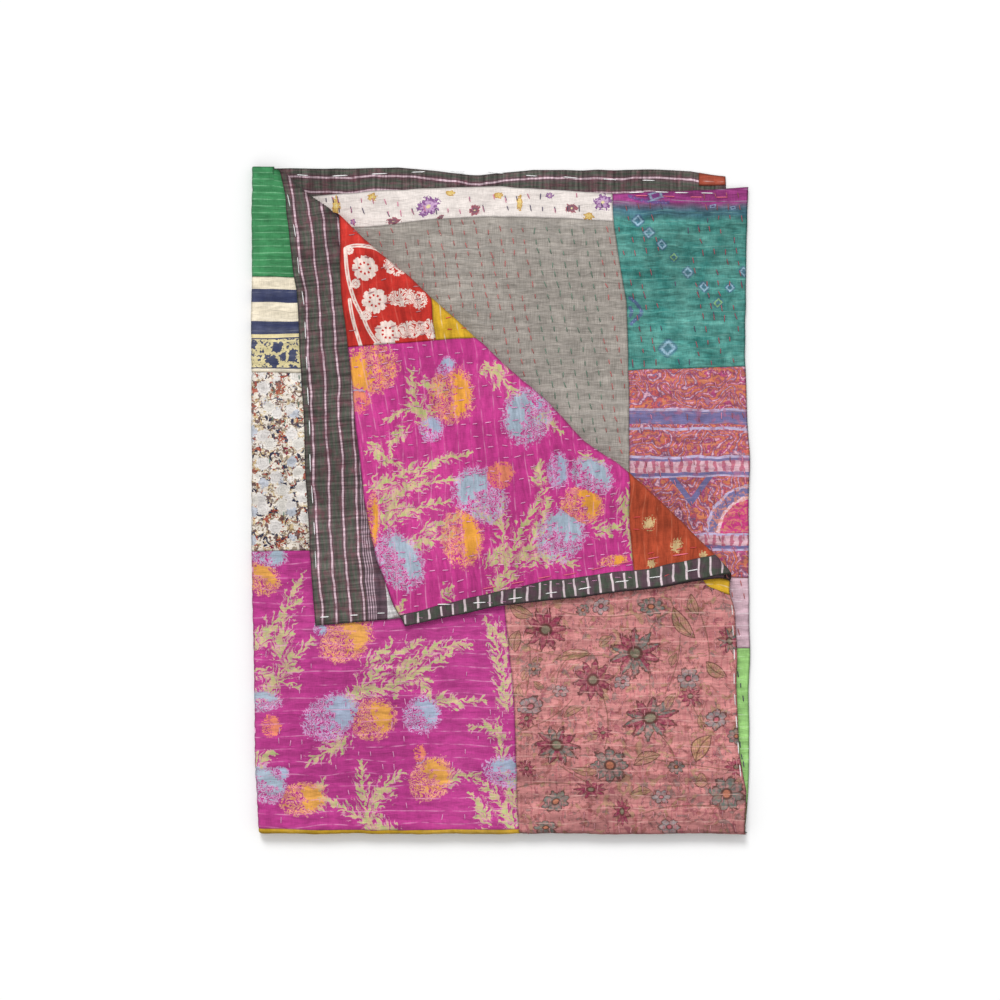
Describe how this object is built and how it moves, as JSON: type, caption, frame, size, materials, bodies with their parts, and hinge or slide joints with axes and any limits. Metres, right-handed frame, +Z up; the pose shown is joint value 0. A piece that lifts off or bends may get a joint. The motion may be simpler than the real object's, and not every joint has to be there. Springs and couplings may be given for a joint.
{
  "type": "throw blanket",
  "caption": "Hand-stitched patchwork cotton throw, folded in four with the corner of its two upper layers turned back across the top.",
  "frame": {"origin": "centre of the folded throw's footprint, on the surface that it lies on", "axes": "+X from the closed side fold towards the loose side edges, +Y from the bottom fold towards the loose top edges, +Z up through the layers"},
  "size_m": [0.6476, 0.8671, 0.0205],
  "materials": {
    "quilted_cotton": "soft matt printed cotton, stitched through in rows"
  },
  "bodies": {
    "root": {"patchwork_throw": "quilted_cotton"}
  },
  "joints": []
}
